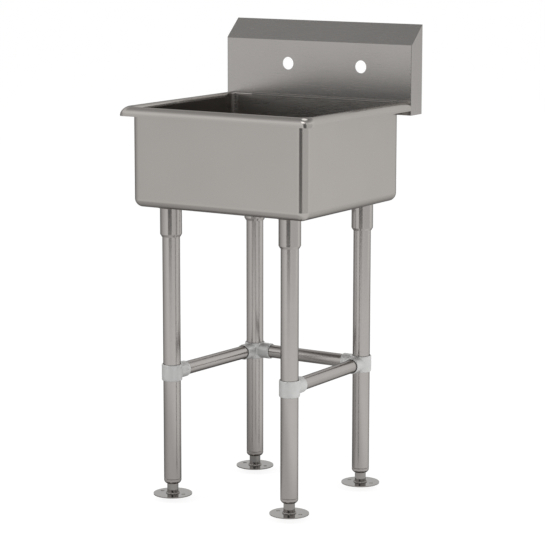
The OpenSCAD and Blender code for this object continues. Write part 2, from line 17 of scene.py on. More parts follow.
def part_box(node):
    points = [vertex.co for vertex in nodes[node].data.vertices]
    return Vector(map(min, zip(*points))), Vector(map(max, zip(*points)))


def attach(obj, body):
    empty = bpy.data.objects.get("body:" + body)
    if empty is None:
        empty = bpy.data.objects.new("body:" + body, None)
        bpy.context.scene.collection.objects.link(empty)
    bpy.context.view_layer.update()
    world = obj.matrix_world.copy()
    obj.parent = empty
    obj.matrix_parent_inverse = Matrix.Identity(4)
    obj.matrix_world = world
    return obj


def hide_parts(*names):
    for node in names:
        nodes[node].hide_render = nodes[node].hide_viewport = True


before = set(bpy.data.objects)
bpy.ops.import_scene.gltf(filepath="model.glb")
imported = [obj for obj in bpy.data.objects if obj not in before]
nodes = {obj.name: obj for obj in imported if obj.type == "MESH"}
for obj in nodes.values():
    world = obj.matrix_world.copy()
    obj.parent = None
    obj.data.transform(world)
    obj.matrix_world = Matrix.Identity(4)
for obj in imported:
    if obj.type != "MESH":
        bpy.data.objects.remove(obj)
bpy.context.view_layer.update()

# %% [markdown]
# ## Colours and shader nodes
# Paint charts and photographs give colours as sRGB hex values, while the
# renderer works in linear light, so one function turns the first into the
# second. A second small function adds a shader node with its settings and its
# links in one call, which keeps every material below short enough to read.

# %% Helpers for colours and nodes
def linear(hex_colour):
    """An sRGB hex value as red, green, blue and alpha in linear light."""
    channels = [int(hex_colour[i:i + 2], 16) / 255 for i in (1, 3, 5)]
    return [c / 12.92 if c <= 0.04045 else ((c + 0.055) / 1.055) ** 2.4 for c in channels] + [1.0]


def add_node(tree, kind, links=None, sockets=None, **settings):
    """A new node: links gives its inputs a source, sockets a value, and settings set the rest."""
    node = tree.nodes.new(kind)
    for name, value in settings.items():
        setattr(node, name, value)
    for name, value in (sockets or {}).items():
        node.inputs[name].default_value = value
    for name, source in (links or {}).items():
        tree.links.new(source, node.inputs[name])
    return node


def new_material(name):
    """An empty material and its node tree."""
    material = bpy.data.materials.new(name)
    material.use_nodes = True
    material.node_tree.nodes.clear()
    return material, material.node_tree


print("mid grey #808080 in linear light:", round(linear("#808080")[0], 3))

# %% [markdown]
# ## The camera
# The photograph was taken with a long lens from the front right, a little
# above the rim. A long lens keeps the legs almost parallel, and the sink stays
# square instead of bulging towards the viewer. The camera's three directions
# are written as rows and become the columns of its rotation.

# %% Camera
RIGHT = Vector((0.845686, 0.533680, 0.000796))
DOWN = Vector((0.091524, -0.143561, -0.985400))
FORWARD = Vector((-0.525774, 0.833412, -0.170252))
CAMERA_PLACE = (2.7889, -4.4155, 1.4236)
LENS_MM = 148.14
SENSOR_MM = 36.0
FARTHEST = 200.0

camera_data = bpy.data.cameras.new("long_lens")
camera_data.sensor_width = SENSOR_MM
camera_data.lens = LENS_MM
camera_data.clip_end = FARTHEST
camera = bpy.data.objects.new("long_lens", camera_data)
camera_turn = Matrix((RIGHT, -DOWN, -FORWARD)).transposed()
camera.matrix_world = Matrix.Translation(CAMERA_PLACE) @ camera_turn.to_4x4()
bpy.context.collection.objects.link(camera)
bpy.context.scene.camera = camera
print("camera stands", round(camera.location.length, 2), "m from the sink's foot")

# %% [markdown]
# ## Brushed stainless sheet
# The bowl and the backsplash are stainless steel sheet, ground with a belt to a
# satin finish. The belt leaves fine parallel scratches, so the sheet mirrors
# its surroundings softly and drags each highlight out across the grain. A
# metal's look is almost all reflection: the colour only tints it. The scratches
# are about 0.1 mm apart, which is far too fine to show, so they are drawn 1.0 to
# 1.5 mm apart here, and faint. A noise texture draws them: it is squeezed along
# the grain, so its spots turn into long streaks.

# %% Satin steel
NOISE_SPAN = {"From Min": 0.3, "From Max": 0.7}  # nearly all of a noise lies between these
CLOUDS_PER_METRE = 9.0
GRAIN_STRENGTH = 0.25
GLOSS_SPREAD = 0.03
WORN_DULLER = 0.08


def satin_steel(name, colour, roughness, grain_mm, grain_axes, grain_depth_mm, mottle,
                edge="#A0A0A0", worn=None):
    """Belt-ground steel: grain lines grain_mm apart, drawn out along the axes that grain_axes
    squeezes. The colour edge dims the mirror image where the surface turns away from the
    viewer. Surfaces that face the point worn are duller."""
    material, tree = new_material(name)
    place = add_node(tree, "ShaderNodeTexCoord")
    stretched = add_node(tree, "ShaderNodeMapping", {"Vector": place.outputs["Object"]},
                         {"Scale": [axis / (grain_mm * 0.001) for axis in grain_axes]})
    grain = add_node(tree, "ShaderNodeTexNoise", {"Vector": stretched.outputs[0]},
                     {"Scale": 1.0, "Detail": 3.0, "Roughness": 0.6})
    cloud = add_node(tree, "ShaderNodeTexNoise", {"Vector": place.outputs["Object"]},
                     {"Scale": CLOUDS_PER_METRE, "Detail": 2.0})
    shade = add_node(tree, "ShaderNodeMapRange", {"Value": cloud.outputs[0]},
                     {**NOISE_SPAN, "To Min": 1 - mottle, "To Max": 1 + mottle})
    tint = add_node(tree, "ShaderNodeVectorMath", {1: shade.outputs[0]},
                    {0: linear(colour)[:3]}, operation="MULTIPLY")
    glossiest = roughness - GLOSS_SPREAD
    gloss = add_node(tree, "ShaderNodeMapRange", {"Value": grain.outputs[0]},
                     {**NOISE_SPAN, "To Min": glossiest, "To Max": roughness + GLOSS_SPREAD})
    if worn:
        way_in = add_node(tree, "ShaderNodeVectorMath", {1: place.outputs["Object"]},
                          {0: worn}, operation="SUBTRACT")
        way_in = add_node(tree, "ShaderNodeVectorMath", {0: way_in.outputs[0]},
                          operation="NORMALIZE")
        faced = add_node(tree, "ShaderNodeVectorMath",
                         {0: way_in.outputs[0], 1: place.outputs["Normal"]},
                         operation="DOT_PRODUCT")
        gloss = add_node(tree, "ShaderNodeMath",
                         {0: faced.outputs["Value"], 2: gloss.outputs[0]},
                         {1: WORN_DULLER}, operation="MULTIPLY_ADD")
        gloss = add_node(tree, "ShaderNodeMath", {0: gloss.outputs[0]}, {1: glossiest},
                         operation="MAXIMUM")
    bump = add_node(tree, "ShaderNodeBump", {"Height": grain.outputs[0]},
                    {"Strength": GRAIN_STRENGTH, "Distance": grain_depth_mm * 0.001})
    steel = add_node(tree, "ShaderNodeBsdfPrincipled",
                     {"Base Color": tint.outputs[0], "Roughness": gloss.outputs[0],
                      "Normal": bump.outputs[0]},
                     {"Metallic": 1.0, "Specular Tint": linear(edge)})
    add_node(tree, "ShaderNodeOutputMaterial", {"Surface": steel.outputs[0]})
    return material


print("satin steel: grain noise and clouds", round(1000 / CLOUDS_PER_METRE), "mm wide")

# %% [markdown]
# ## Which way each piece is ground
# The bowl is ground level, all the way round its walls, and the backsplash from
# end to end. Tube turns while it is ground, so its scratches run round it. The
# feet are polished until hardly any grain is left, and mirror more sharply. In
# the bowl, the rear and right walls are duller than the rest, because the water
# and the things that are washed rub there most.

# %% The six steels
LEVEL = (0.02, 0.02, 1.0)
END_TO_END = (0.02, 1.0, 1.0)
ROUND_A_LEG = (0.05, 0.05, 1.0)
ROUND_A_RAIL = (1.0, 1.0, 0.05)
NO_WAY = (1.0, 1.0, 1.0)
WORN_FROM_ASIDE = 0.15

bowl_low, bowl_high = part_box("sink_bowl")
worn_from = (bowl_low[0] - WORN_FROM_ASIDE, bowl_low[1], bowl_high[2])
bowl_steel = satin_steel("satin_stainless_bowl", "#ABA7A3", roughness=0.22, grain_mm=1.5,
                         grain_axes=LEVEL, grain_depth_mm=0.006, mottle=0.012, worn=worn_from)
splash_steel = satin_steel("satin_stainless_backsplash", "#A8A5A2", roughness=0.25, grain_mm=1.5,
                           grain_axes=END_TO_END, grain_depth_mm=0.007, mottle=0.015)
tube_steel = satin_steel("satin_stainless_tube", "#ABA7A4", roughness=0.20, grain_mm=1.2,
                         grain_axes=ROUND_A_LEG, grain_depth_mm=0.015, mottle=0.02)
socket_steel = satin_steel("satin_stainless_socket", "#A9A5A2", roughness=0.15, grain_mm=1.2,
                           grain_axes=ROUND_A_LEG, grain_depth_mm=0.015, mottle=0.02)
rail_steel = satin_steel("satin_stainless_rail", "#ABA7A4", roughness=0.20, grain_mm=1.2,
                         grain_axes=ROUND_A_RAIL, grain_depth_mm=0.015, mottle=0.02)
foot_steel = satin_steel("polished_stainless_foot", "#9C9996", roughness=0.09, grain_mm=1.0,
                         grain_axes=NO_WAY, grain_depth_mm=0.004, mottle=0.03, edge="#DCDCDC")
steels = (bowl_steel, splash_steel, tube_steel, socket_steel, rail_steel, foot_steel)
print("steels:", [steel.name for steel in steels])

# %% [markdown]
# ## The tight turn at the rear of the bowl
# Behind the bowl the sheet turns from the wall into the deck over a very small radius. Along that
# turn the steel's colour is darkened as painted shade, and its roughness is raised, so that no
# bright line shows along it.

# %% Painted shade along the rear turn
TURN_LEFT, TURN_RIGHT = -0.175, 0.222
TURN_REAR = 0.1932
TURN_BELOW_CREST = 0.0012
TURN_REACH = 0.0045
TURN_CORE = TURN_REACH * 0.6
# The colour near the turn is multiplied by TURN_SHADE: painted shade.
TURN_SHADE = 0.50
TURN_ROUGHNESS = 0.45


def paint_shade_along(material, left, right, y, z):
    """Painted shade (a darker colour) and duller steel near a line that runs from left to right at
    that y and z.
    """
    tree = material.node_tree
    steel = next(node for node in tree.nodes if node.type == "BSDF_PRINCIPLED")
    place = add_node(tree, "ShaderNodeTexCoord").outputs["Object"]
    parts = add_node(tree, "ShaderNodeSeparateXYZ", {0: place})
    aside = add_node(tree, "ShaderNodeMath", {0: parts.outputs["X"]}, {1: (left + right) / 2},
                     operation="SUBTRACT")
    aside = add_node(tree, "ShaderNodeMath", {0: aside.outputs[0]}, operation="ABSOLUTE")
    past_end = add_node(tree, "ShaderNodeMath", {0: aside.outputs[0]}, {1: (right - left) / 2},
                        operation="SUBTRACT")
    past_end = add_node(tree, "ShaderNodeMath", {0: past_end.outputs[0]}, {1: 0.0},
                        operation="MAXIMUM")
    point = add_node(tree, "ShaderNodeCombineXYZ",
                     {0: past_end.outputs[0], 1: parts.outputs["Y"], 2: parts.outputs["Z"]})
    away = add_node(tree, "ShaderNodeVectorMath", {0: point.outputs[0]}, {1: (0.0, y, z)},
                    operation="DISTANCE")
    for socket, kind, blend, at_line, far_off in (
            ("Base Color", "ShaderNodeVectorMath", "MULTIPLY", TURN_SHADE, 1.0),
            ("Roughness", "ShaderNodeMath", "MAXIMUM", TURN_ROUGHNESS, 0.0)):
        change = add_node(tree, "ShaderNodeMapRange", {"Value": away.outputs["Value"]},
                          {"From Min": TURN_CORE, "From Max": TURN_REACH,
                           "To Min": at_line, "To Max": far_off})
        before = steel.inputs[socket].links[0].from_socket
        after = add_node(tree, kind, {0: before, 1: change.outputs[0]}, operation=blend)
        tree.links.new(after.outputs[0], steel.inputs[socket])


# Paints shade along the rear turn: a darker colour, and a higher roughness.
paint_shade_along(bowl_steel, TURN_LEFT, TURN_RIGHT, TURN_REAR, bowl_high[2] - TURN_BELOW_CREST)
print("rear turn dulled over", round(TURN_RIGHT - TURN_LEFT, 3), "m")

# %% [markdown]
# ## Cast aluminium, rubber and fibre
# The fittings that join the rails to the legs are cast aluminium, tumbled or
# blasted after casting. Their skin is a fine even grit that scatters light, so
# they look paler and flatter than the steel beside them. The drain has a black
# rubber seal and a friction washer of pressed fibre, both dull. The pits of a
# blasted skin are about 0.2 mm wide, and are drawn 0.8 mm wide so that they show.

# %% Dull finishes
PATCHES_PER_METRE = 60.0
PATCH_MOTTLE = 0.04
GRIT_STRENGTH = 0.4


def gritty(name, colour, metallic, roughness, grit_mm, grit_depth_mm):
    """A dull skin: grit of one size all over, and a slight change of shade."""
    material, tree = new_material(name)
    place = add_node(tree, "ShaderNodeTexCoord")
    grit = add_node(tree, "ShaderNodeTexNoise", {"Vector": place.outputs["Object"]},
                    {"Scale": 1000 / grit_mm, "Detail": 2.0})
    patches = add_node(tree, "ShaderNodeTexNoise", {"Vector": place.outputs["Object"]},
                       {"Scale": PATCHES_PER_METRE})
    shade = add_node(tree, "ShaderNodeMapRange", {"Value": patches.outputs[0]},
                     {**NOISE_SPAN, "To Min": 1 - PATCH_MOTTLE, "To Max": 1 + PATCH_MOTTLE})
    tint = add_node(tree, "ShaderNodeVectorMath", {1: shade.outputs[0]},
                    {0: linear(colour)[:3]}, operation="MULTIPLY")
    bump = add_node(tree, "ShaderNodeBump", {"Height": grit.outputs[0]},
                    {"Strength": GRIT_STRENGTH, "Distance": grit_depth_mm * 0.001})
    skin = add_node(tree, "ShaderNodeBsdfPrincipled",
                    {"Base Color": tint.outputs[0], "Normal": bump.outputs[0]},
                    {"Metallic": metallic, "Roughness": roughness})
    add_node(tree, "ShaderNodeOutputMaterial", {"Surface": skin.outputs[0]})
    return material


cast_aluminium = gritty("blasted_cast_aluminium", "#D1D1D0", metallic=1.0, roughness=0.55,
                        grit_mm=0.8, grit_depth_mm=0.08)
black_rubber = gritty("moulded_black_rubber", "#1E1E1E", metallic=0.0, roughness=0.65,
                      grit_mm=0.5, grit_depth_mm=0.03)
pressed_fibre = gritty("pressed_fibre", "#8C6A4C", metallic=0.0, roughness=0.85,
                       grit_mm=0.4, grit_depth_mm=0.05)
print("dull finishes:", [m.name for m in (cast_aluminium, black_rubber, pressed_fibre)])

# %% [markdown]
# ## Which piece gets which finish
# The pieces keep their CAD shapes here, so dressing one is only a matter of
# putting the right material in its slot. The names say what each piece is,
# and a piece is matched by the start of its name.

# %% Dress the nodes
FINISHES = {
    "sink_bowl": bowl_steel, "backsplash": splash_steel, "leg_socket": socket_steel,
    "leg_tube": tube_steel, "leg_insert": tube_steel, "foot_flange": foot_steel,
    "foot_stud": foot_steel, "tee_fitting": cast_aluminium, "corner_fitting": cast_aluminium,
    "side_rail": rail_steel, "rear_rail": rail_steel, "socket_set_screws": foot_steel,
    "fitting_set_screws": foot_steel, "drain_body": foot_steel, "drain_gasket": black_rubber,
    "drain_washer": pressed_fibre, "drain_locknut": cast_aluminium, "strainer_basket": foot_steel,
    "basket_post": foot_steel, "basket_stopper": black_rubber,
}
for name, piece in nodes.items():
    finish = next(f for start, f in FINISHES.items() if name.startswith(start))
    for slot in piece.material_slots:
        slot.material = finish
print("dressed", len(nodes), "pieces")

# %% [markdown]
# ## Cast fittings with soft edges
# The CAD fittings have the crisp edges of a drawing. A sand casting has none:
# molten metal doesn't fill a sharp corner, and tumbling rounds off the rest. So
# each fitting is copied, rebuilt as an even skin of small faces, and smoothed
# until its edges and the joins between its sockets turn soft.

# %% Soften the castings
SKIN_FACE = 0.001
SMOOTH_SHARE = 0.5
SMOOTH_ROUNDS = 8


def softened(name):
    """A copy of the named fitting with soft edges, in its place."""
    piece = bpy.data.objects.new(name + "_casting", nodes[name].data.copy())
    bpy.context.collection.objects.link(piece)
    skin = piece.modifiers.new("skin", "REMESH")
    skin.mode = "VOXEL"
    skin.voxel_size = SKIN_FACE
    skin.use_smooth_shade = True
    soft = piece.modifiers.new("soft", "SMOOTH")
    soft.factor = SMOOTH_SHARE
    soft.iterations = SMOOTH_ROUNDS
    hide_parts(name)
    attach(piece, "root")
    return piece


castings = [softened(name) for name in nodes if name.startswith(("tee_fitting", "corner_fitting"))]
print("softened:", [piece.name for piece in castings])

# %% [markdown]
# ## Front corners of the rim, ground round
# The CAD rim has two straight rolls that meet in a near-sharp corner. On the
# real sink the welded corner is ground by hand until the upper part of the roll
# sweeps round in one curve. Seen from above, the rim's outline at any height is
# then two straight edges joined by an arc. The functions below describe that
# outline along a ray from the middle of the bowl's corner: how far off it is,
# and which way it faces there.

# %% Outline of a rounded corner
BOWL_CORNER = 0.020  # radius of the bowl's own corner
RIM_OUT = (0.0238, 0.0217)  # how far the rim stands out, at the side and at the front
RIM_CREST_IN = 0.014  # how far the crest lies in from the rim's edge
LIP_CORNER = 0.018  # the ground corner's radius at the lip
CREST_CORNER = 0.024  # and at the crest


def outline_ends(inset, corner):
    """Where the outline, set in by inset, has its straight edges, and the arc that fits them."""
    end_x, end_y = (out + BOWL_CORNER - inset for out in RIM_OUT)
    return end_x, end_y, min(corner, end_x, end_y)


def reach_of_edge(out_x, out_y, inset, corner):
    """How far off the outline lies along the ray (out_x, out_y)."""
    end_x, end_y, corner = outline_ends(inset, corner)
    start_x, start_y = end_x - corner, end_y - corner
    if end_x * out_y <= start_y * out_x:
        return end_x / out_x
    if end_y * out_x <= start_x * out_y:
        return end_y / out_y
    towards = out_x * start_x + out_y * start_y
    return towards + math.sqrt(towards ** 2 - start_x ** 2 - start_y ** 2 + corner ** 2)


def facing(out_x, out_y, inset, corner):
    """Which way the outline faces where the ray (out_x, out_y) meets it."""
    reach = reach_of_edge(out_x, out_y, inset, corner)
    end_x, end_y, corner = outline_ends(inset, corner)
    way = Vector((max(out_x * reach - end_x + corner, 0), max(out_y * reach - end_y + corner, 0)))
    return way.normalized()


diagonal = math.sqrt(0.5)
sharp, rounded = (reach_of_edge(diagonal, diagonal, RIM_CREST_IN, r) for r in (0, CREST_CORNER))
print("the crest's corner moves in by", round((sharp - rounded) * 1000, 1), "mm")

# %% [markdown]
# ## Where a point of the rim goes
# Grinding takes most at the crest and little at the lip, so the arc's radius
# grows with the height. Outside the crest a point moves along its ray onto the
# new outline. Between the crest and the bowl's inner turn it moves by a share of
# that, and the inner turn itself stays where it is.

# %% Sweep a point in
TURN_OUTER = 0.0277  # where the inner turn ends, from the middle of the bowl's corner
RIM_DROP = 0.0216  # from the crest down to the lip
FULL_ARC_AT = RIM_DROP * 0.8  # height above the lip from which the arc has the crest's radius
NEARLY_NOTHING = 1e-6


def swept_in(across, along, height):
    """New place of a point of the rim, given from the middle of the bowl's corner outwards and
    from the lip upwards, and the way it then faces."""
    reach = math.hypot(across, along)
    out_x, out_y = across / reach, along / reach
    outwards = Vector((out_x, out_y))
    if reach <= TURN_OUTER:
        return across, along, outwards
    inset = min(RIM_OUT[0] + BOWL_CORNER - across, RIM_OUT[1] + BOWL_CORNER - along)
    risen = min(max(height / FULL_ARC_AT, 0), 1)
    corner = LIP_CORNER + risen * (CREST_CORNER - LIP_CORNER)
    if inset <= RIM_CREST_IN:
        moved = reach_of_edge(out_x, out_y, inset, corner)
        way = facing(out_x, out_y, inset, corner)
    else:
        crest, new_crest = (reach_of_edge(out_x, out_y, RIM_CREST_IN, r) for r in (0, corner))
        share = (reach - TURN_OUTER) / max(crest - TURN_OUTER, NEARLY_NOTHING)
        moved = TURN_OUTER + share * (new_crest - TURN_OUTER)
        at_crest = facing(out_x, out_y, RIM_CREST_IN, corner)
        way = outwards.lerp(at_crest, min(share, 1)).normalized()
    return across * moved / reach, along * moved / reach, way


tip = swept_in(RIM_OUT[0] + BOWL_CORNER, RIM_OUT[1] + BOWL_CORNER, 0)
print("the lip's tip moves to", [round(v * 1000, 1) for v in tip[:2]], "mm from the middle")

# %% [markdown]
# ## Wedges round each front corner
# A flat face can't bend, so the rim's faces have to be cut before their points
# move. Planes that all pass through the middle of the bowl's corner, like the
# cuts in a cake, slice the corner into narrow wedges.

# %% Cut and move the corners
WEDGES = 18
CUT_DISTANCE = 1e-7
HAIR = 1e-5
BELOW_LIP = 1e-3

middle_x = bowl_high[0] - RIM_OUT[0] - BOWL_CORNER
middle_y = bowl_low[1] + RIM_OUT[1] + BOWL_CORNER
lip_z = bowl_high[2] - RIM_DROP


def in_corner(v, side, margin=-HAIR):
    """True where the point lies in the rim's front corner on that side."""
    return (side * v.co.x > middle_x + margin and v.co.y < middle_y - margin
            and v.co.z > lip_z - BELOW_LIP)


def cut(shape, faces, place, normal):
    """Cuts those faces along the plane through place."""
    geometry = set(faces)
    for face in faces:
        geometry.update(face.edges)
        geometry.update(face.verts)
    bmesh.ops.bisect_plane(shape, geom=list(geometry), plane_co=place, plane_no=normal,
                           dist=CUT_DISTANCE)


def sweep_corners(shape):
    """Cuts both front corners into wedges, moves their points and notes which way each faces."""
    outwards = shape.verts.layers.float_vector.new("outwards")
    for side in (-1, 1):
        cut(shape, list(shape.faces), (side * middle_x, 0, 0), (1, 0, 0))
    cut(shape, list(shape.faces), (0, middle_y, 0), (0, 1, 0))
    for side in (-1, 1):
        for k in range(1, WEDGES):
            a = math.pi / 2 * k / WEDGES
            corner = [f for f in shape.faces if all(in_corner(v, side) for v in f.verts)]
            cut(shape, corner, (side * middle_x, middle_y, 0),
                (side * math.sin(a), math.cos(a), 0))
        for v in shape.verts:
            if in_corner(v, side):
                across, along, way = swept_in(side * v.co.x - middle_x, middle_y - v.co.y,
                                              v.co.z - lip_z)
                v.co.x, v.co.y = side * (middle_x + across), middle_y - along
                v[outwards] = (side * way.x, -way.y, 0)


print("corner's middle at", round(middle_x, 4), round(middle_y, 4), "lip at", round(lip_z, 4))

# %% [markdown]
# ## The rebuilt bowl and its shading
# Cutting and moving faces spoils the smooth shading. So each face corner first
# notes the normal that the CAD bowl has there. Away from the rim's corners the
# copy keeps those normals. In the corners each keeps its slope, and its level
# part turns to the way that the new outline faces.

# %% Rebuild the bowl
MERGE_DISTANCE = 1e-6
SHARP_DEG = 35


def note_normals(shape, mesh):
    """Writes the drawn normal of each face corner onto it, where the cuts keep it."""
    as_drawn = shape.loops.layers.float_vector.new("as_drawn")
    for face, polygon in zip(shape.faces, mesh.polygons):
        for loop, index in zip(face.loops, polygon.loop_indices):
            loop[as_drawn] = mesh.corner_normals[index].vector


def turned(normal, way):
    """The normal with its slope kept and its level part turned to way."""
    level = math.sqrt(max(1 - normal.z ** 2, 0)) * (1 if normal.dot(way) >= 0 else -1)
    return Vector((way.x * level, way.y * level, normal.z)).normalized()


def shade_as_drawn(mesh):
    """Gives the mesh the noted normals, turned where the corners were swept in."""
    drawn = [face_corner.vector.normalized() for face_corner in mesh.attributes["as_drawn"].data]
    ways = [point.vector.copy() for point in mesh.attributes["outwards"].data]
    moved = [any(in_corner(v, side, HAIR) for side in (-1, 1)) for v in mesh.vertices]
    normals = [turned(drawn[loop.index], ways[loop.vertex_index])
               if moved[loop.vertex_index] else drawn[loop.index] for loop in mesh.loops]
    for note in ("as_drawn", "outwards"):
        mesh.attributes.remove(mesh.attributes[note])
    mesh.normals_split_custom_set(normals)


def ground_corners(name):
    """A copy of the named bowl with both front corners of its rim ground round, in its place."""
    mesh = nodes[name].data.copy()
    shape = bmesh.new()
    shape.from_mesh(mesh)
    note_normals(shape, mesh)
    bmesh.ops.remove_doubles(shape, verts=shape.verts, dist=MERGE_DISTANCE)
    sweep_corners(shape)
    shape.to_mesh(mesh)
    shape.free()
    piece = bpy.data.objects.new(name + "_ground", mesh)
    bpy.context.collection.objects.link(piece)
    mesh.shade_smooth()
    mesh.set_sharp_from_angle(angle=math.radians(SHARP_DEG))
    shade_as_drawn(mesh)
    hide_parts(name)
    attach(piece, "root")
    return piece


ground_bowl = ground_corners("sink_bowl")
print("bowl rebuilt with", len(ground_bowl.data.polygons), "faces")

# %% [markdown]
# ## Weld beads
# A welder lays a bead as a row of overlapping drops, one for each dab of the
# filler rod, so its surface has fine crescents about half as far apart as the
# bead is wide. There is one bead round the top of each leg socket, below the
# bowl, and one where each foot's neck stands on its flange.

# %% Lay the beads
DROP_LENGTH = 0.0022
STEPS_A_DROP = 5
SECTION_STEPS = 10
SWELL = 0.10  # how much a drop stands out, as a share of the bead's radius
CRESCENT = 1.3  # how far the drops' edges bend, in radians of a drop
SOCKET_BEAD, SOCKET_BEAD_OUT, SOCKET_BEAD_DOWN = 0.0020, 0.0006, 0.0006
FLANGE_BEAD, NECK_RADIUS, FLANGE_TOP = 0.0022, 0.0140, 0.0034


def weld_bead(name, middle, ring_radius, bead_radius, body, finish):
    """A ring of drops round the upright axis through middle."""
    drops = round(math.tau * ring_radius / DROP_LENGTH)
    around = drops * STEPS_A_DROP
    points, faces = [], []
    for i in range(around):
        a = math.tau * i / around
        for j in range(SECTION_STEPS):
            b = math.tau * j / SECTION_STEPS
            swell = 1 + SWELL * math.sin(drops * a + CRESCENT * math.cos(b))
            r = ring_radius + bead_radius * swell * math.cos(b)
            points.append((middle[0] + r * math.cos(a), middle[1] + r * math.sin(a),
                           middle[2] + bead_radius * swell * math.sin(b)))
            here, there = i * SECTION_STEPS, (i + 1) % around * SECTION_STEPS
            after = (j + 1) % SECTION_STEPS
            faces.append((here + j, there + j, there + after, here + after))
    mesh = bpy.data.meshes.new(name)
    mesh.from_pydata(points, [], faces)
    mesh.shade_smooth()
    mesh.materials.append(finish)
    bead = bpy.data.objects.new(name, mesh)
    bpy.context.collection.objects.link(bead)
    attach(bead, body)
    return bead


def level_middle(low, high):
    """The middle of a box from left to right and from front to back."""
    return (low[0] + high[0]) / 2, (low[1] + high[1]) / 2


beads = []
for name in [n for n in nodes if n.startswith("leg_socket")]:
    low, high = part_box(name)
    middle = (*level_middle(low, high), high[2] - SOCKET_BEAD_DOWN)
    beads.append(weld_bead("weld_" + name, middle, (high[0] - low[0]) / 2 + SOCKET_BEAD_OUT,
                           SOCKET_BEAD, "root", socket_steel))
for name in [n for n in nodes if n.startswith("foot_flange")]:
    low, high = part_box(name)
    middle = (*level_middle(low, high), low[2] + FLANGE_TOP)
    beads.append(weld_bead("weld_" + name, middle, NECK_RADIUS, FLANGE_BEAD,
                           name.replace("foot_flange", "foot"), foot_steel))
print("beads:", len(beads))

# %% [markdown]
# ## Thread of the drain's outlet
# The outlet below the bowl carries the pipe thread that the waste pipe's nut
# screws onto: a ridge that winds round it eleven and a half times to the inch.
# Its two ends run out over half a turn each, as a cut thread's do.

# %% Cut the thread
PITCH = 0.0254 / 11.5
THREAD_DEPTH = 0.0006
THREAD_START, THREAD_END = 0.001, 0.012  # above the outlet's lower end
OUTLET_RADIUS = 0.0239
SUNK = 0.0002  # how far the ridge's foot lies inside the outlet
FOOT_HALF, TOP_HALF = 0.42, 0.08  # the ridge's half widths, in pitches
STEPS_A_TURN = 60


def thread(name, middle, z_low, z_high, body, finish):
    """A ridge that winds round the upright axis through middle."""
    steps = int((z_high - z_low) / PITCH * STEPS_A_TURN)
    run_out = STEPS_A_TURN / 2
    points, faces = [], []
    for i in range(steps + 1):
        a = math.tau * i / STEPS_A_TURN
        z = z_low + PITCH * i / STEPS_A_TURN
        depth = THREAD_DEPTH * (min(i, steps - i, run_out) / run_out)
        ridge = ((-SUNK, -FOOT_HALF), (depth, -TOP_HALF), (depth, TOP_HALF), (-SUNK, FOOT_HALF))
        for out, rise in ridge:
            r = OUTLET_RADIUS + out
            points.append((middle[0] + r * math.cos(a), middle[1] + r * math.sin(a),
                           z + rise * PITCH))
    for i in range(steps):
        for j in range(len(ridge) - 1):
            here, there = i * len(ridge) + j, (i + 1) * len(ridge) + j
            faces.append((here, there, there + 1, here + 1))
    mesh = bpy.data.meshes.new(name)
    mesh.from_pydata(points, [], faces)
    mesh.materials.append(finish)
    ridge_piece = bpy.data.objects.new(name, mesh)
    bpy.context.collection.objects.link(ridge_piece)
    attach(ridge_piece, body)
    return ridge_piece


drain_low, drain_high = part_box("drain_body")
outlet_thread = thread("outlet_thread", level_middle(drain_low, drain_high),
                       drain_low[2] + THREAD_START, drain_low[2] + THREAD_END,
                       "root", foot_steel)
print("thread:", len(outlet_thread.data.polygons), "faces")

# %% [markdown]
# ## What the studio's light depends on
# Behind the sink the light falls off, and that draws a darker line down both
# edges of each leg. And the studio shows more light to the camera and in the
# metal than it sends onto the sink, as a photographer's white background does
# when it stands far behind.

# %% Helpers for the studio
TOWARDS_BACK = (-0.906, 0.423, 0.0)
FALL_OFF = {"From Min": -0.1, "From Max": 0.9, "To Min": 1.0, "To Max": 0.5}


def falls_off(tree, place):
    """1 in front of the sink, falling to a half towards the left and back of the room."""
    way = add_node(tree, "ShaderNodeVectorMath", {0: place}, operation="NORMALIZE")
    back = add_node(tree, "ShaderNodeVectorMath", {0: way.outputs[0]}, {1: TOWARDS_BACK},
                    operation="DOT_PRODUCT")
    dimmed = add_node(tree, "ShaderNodeMapRange", {"Value": back.outputs["Value"]}, FALL_OFF)
    return dimmed.outputs[0]


def seen_directly(tree):
    """Two values: 1 for a ray from the camera, and 1 for any ray that shows the studio, also
    one from a mirror or a clear body. Both are 0 for a ray that only gathers light."""
    path = add_node(tree, "ShaderNodeLightPath").outputs
    either = add_node(tree, "ShaderNodeMath",
                      {0: path["Is Camera Ray"], 1: path["Is Glossy Ray"]}, operation="MAXIMUM")
    seen = add_node(tree, "ShaderNodeMath",
                    {0: either.outputs[0], 1: path["Is Transmission Ray"]}, operation="MAXIMUM")
    return path["Is Camera Ray"], seen.outputs[0]


print("light falls to", FALL_OFF["To Max"], "at the back of the room")

# %% [markdown]
# ## The room
# Polished metal shows the room it stands in. The room here is white at eye
# level and grey overhead, and a white floor runs far out. The grey overhead
# gives the sloped top of the backsplash its darker tone, and a skylight right
# overhead makes the ground corners of the rim gleam. Only near eye level does
# the light fall off to the back. The camera itself sees pure white, as in a
# picture cut out for a catalogue, and the light that the room sends to the sink
# stays modest. Each ramp below turns from one strength to another between two
# heights, where 0 is level and 1 is right overhead.

# %% Room
WALLS = {"From Min": 0.50, "From Max": 0.78, "To Min": 1.12, "To Max": 0.53}
CEILING = {"From Min": 0.80, "From Max": 1.0, "To Min": 1.0, "To Max": 0.45}
ABOVE_EYE_LEVEL = {"From Min": 0.06, "From Max": 0.24, "To Min": 0.0, "To Max": 1.0}
SKYLIGHT = {"From Min": 0.95, "From Max": 0.98, "To Min": 0.0, "To Max": 1.7}
LIGHT_SENT = 0.55

